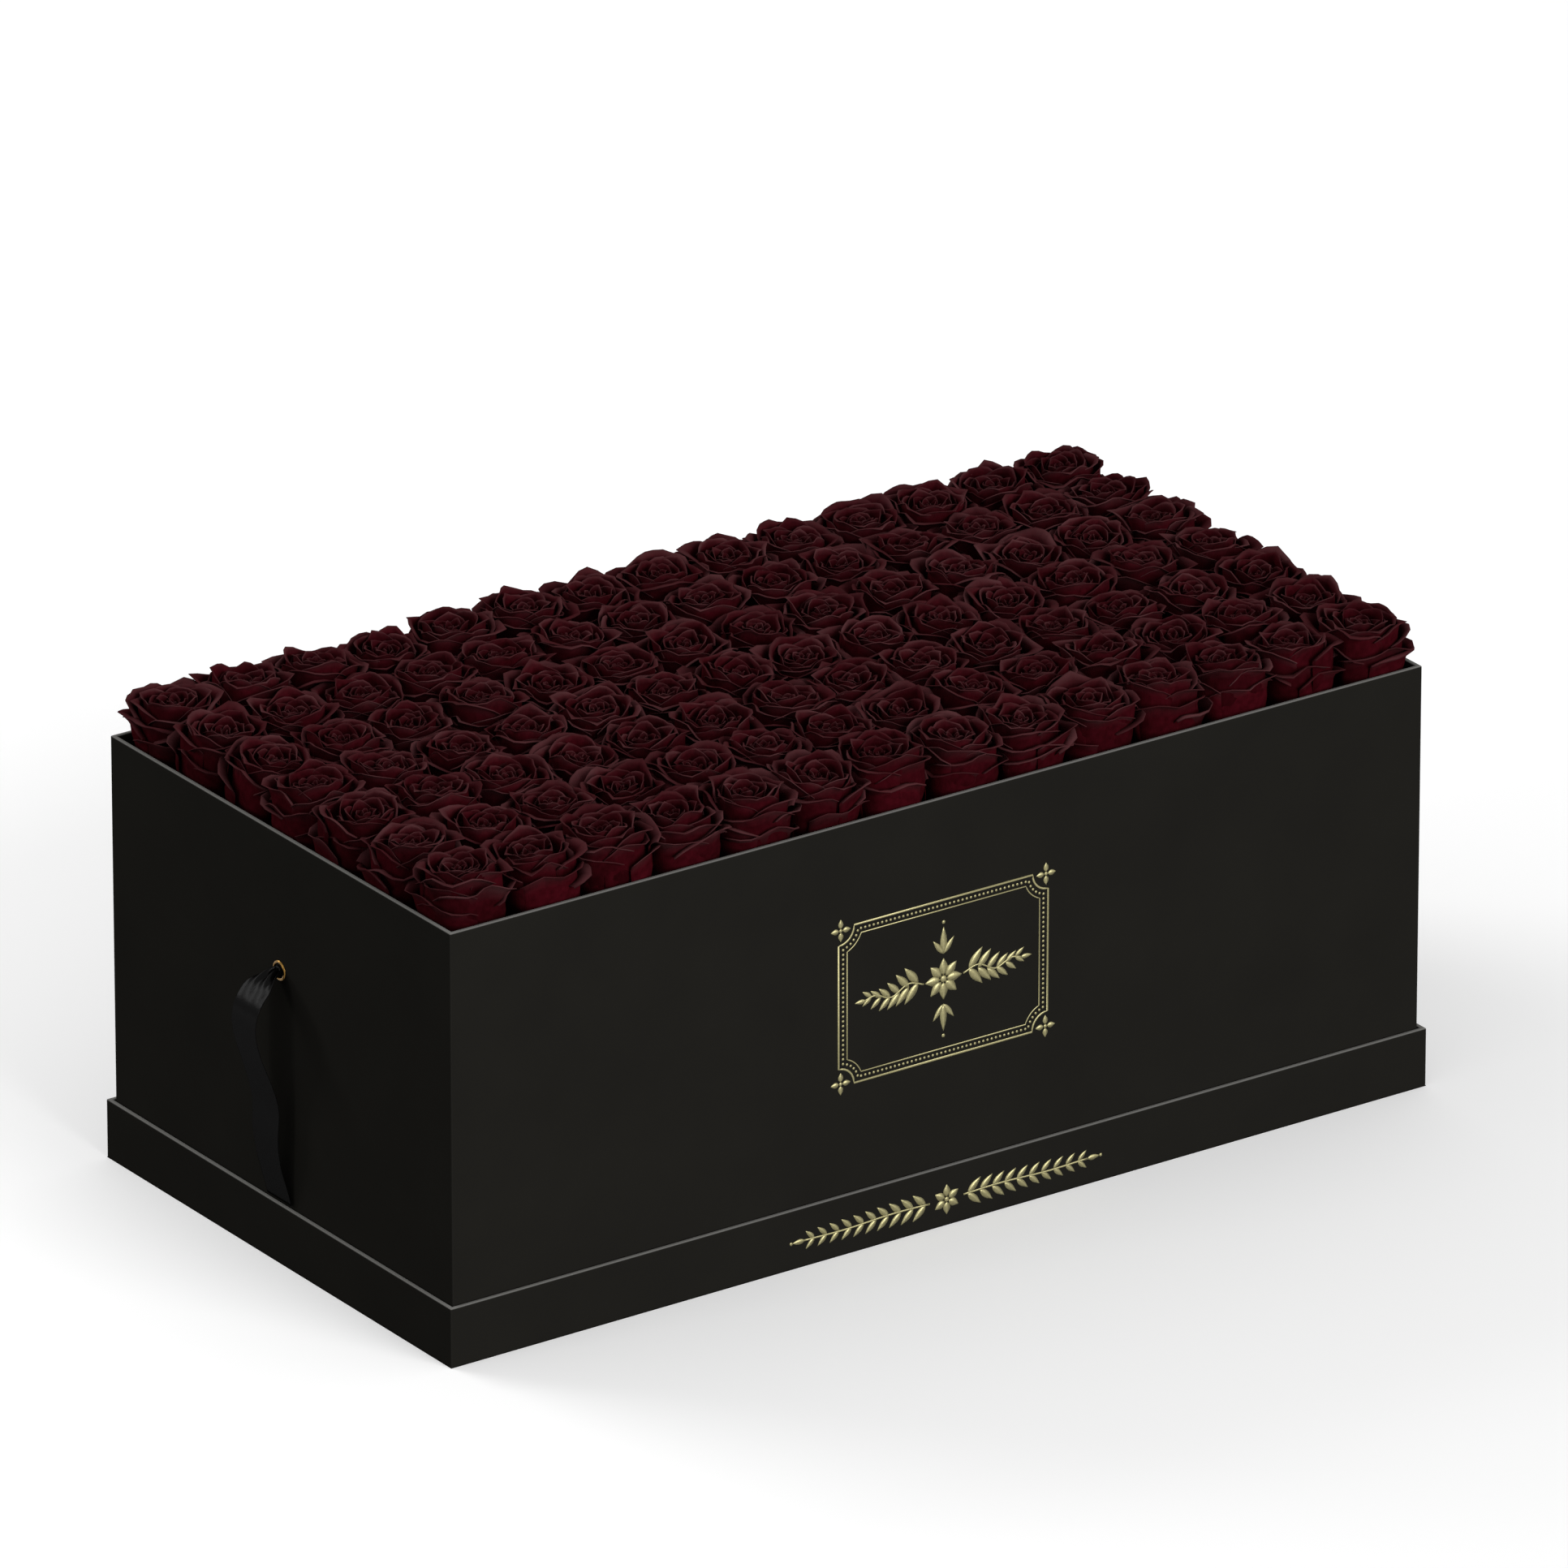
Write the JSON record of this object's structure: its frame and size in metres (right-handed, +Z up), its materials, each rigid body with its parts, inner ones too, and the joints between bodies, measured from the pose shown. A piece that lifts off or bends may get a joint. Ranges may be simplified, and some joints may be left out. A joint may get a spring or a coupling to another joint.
{
  "type": "flower box",
  "caption": "Rectangular rigid board flower box packed with rose heads, standing in a shallow board tray, with a satin ribbon pull through a metal eyelet in each end.",
  "frame": {"origin": "middle of the tray's underside, on the surface that it stands on", "axes": "+X along the box's length to the right, -Y out of the front, +Z up"},
  "size_m": [0.7476, 0.362, 0.302],
  "materials": {
    "black_paper": "satin",
    "greyboard": "matte",
    "stay_tape": "matte",
    "gilt_brass": "polished",
    "black_satin": "satin",
    "floral_foam": "matte",
    "rose_petal": "matte",
    "rose_stem": "matte"
  },
  "bodies": {
    "base_tray": {"tray_back_wall": "greyboard", "tray_bottom_sheet": "black_paper", "tray_floor": "greyboard", "tray_front_wall": "greyboard", "tray_left_wall": "greyboard", "tray_right_wall": "greyboard", "tray_wrap": "black_paper"},
    "flower_box": {"box_back_wall": "greyboard", "box_floor": "greyboard", "box_front_wall": "greyboard", "box_left_wall": "greyboard", "box_right_wall": "greyboard", "box_wrap": "black_paper", "corner_stays": "stay_tape", "eyelet_left": "gilt_brass", "eyelet_right": "gilt_brass", "eyelet_washer_left": "gilt_brass", "eyelet_washer_right": "gilt_brass", "foam_brick_1": "floral_foam", "foam_brick_2": "floral_foam", "foam_brick_3": "floral_foam", "foam_brick_4": "floral_foam", "foam_brick_5": "floral_foam", "foam_brick_6": "floral_foam", "foam_brick_7": "floral_foam", "foam_brick_8": "floral_foam", "foam_brick_9": "floral_foam", "platform_board": "greyboard", "ribbon_knot_left": "black_satin", "ribbon_knot_right": "black_satin", "riser_cross_rib_1": "greyboard", "riser_cross_rib_2": "greyboard", "riser_cross_rib_3": "greyboard", "riser_cross_rib_4": "greyboard", "riser_cross_rib_5": "greyboard", "riser_long_rib_1": "greyboard", "riser_long_rib_2": "greyboard", "rose_row_1": "rose_petal", "rose_row_2": "rose_petal", "rose_row_3": "rose_petal", "rose_row_4": "rose_petal", "rose_row_5": "rose_petal", "rose_row_6": "rose_petal", "rose_row_7": "rose_petal", "stem_row_1": "rose_stem", "stem_row_2": "rose_stem", "stem_row_3": "rose_stem", "stem_row_4": "rose_stem", "stem_row_5": "rose_stem", "stem_row_6": "rose_stem", "stem_row_7": "rose_stem"},
    "left_ribbon": {"ribbon_left": "black_satin"},
    "right_ribbon": {"ribbon_right": "black_satin"}
  },
  "joints": [
    {"name": "box_lift", "type": "slide", "parent": "base_tray", "child": "flower_box", "axis": [0, 0, 1], "range_m": [0, 0.06]},
    {"name": "left_ribbon_swing", "type": "hinge", "parent": "flower_box", "child": "left_ribbon", "pos_m": [-0.3496, 0, 0.184], "axis": [0, 1, 0], "range_deg": [0, 90]},
    {"name": "right_ribbon_swing", "type": "hinge", "parent": "flower_box", "child": "right_ribbon", "pos_m": [0.3496, 0, 0.184], "axis": [0, -1, 0], "range_deg": [0, 90]}
  ]
}
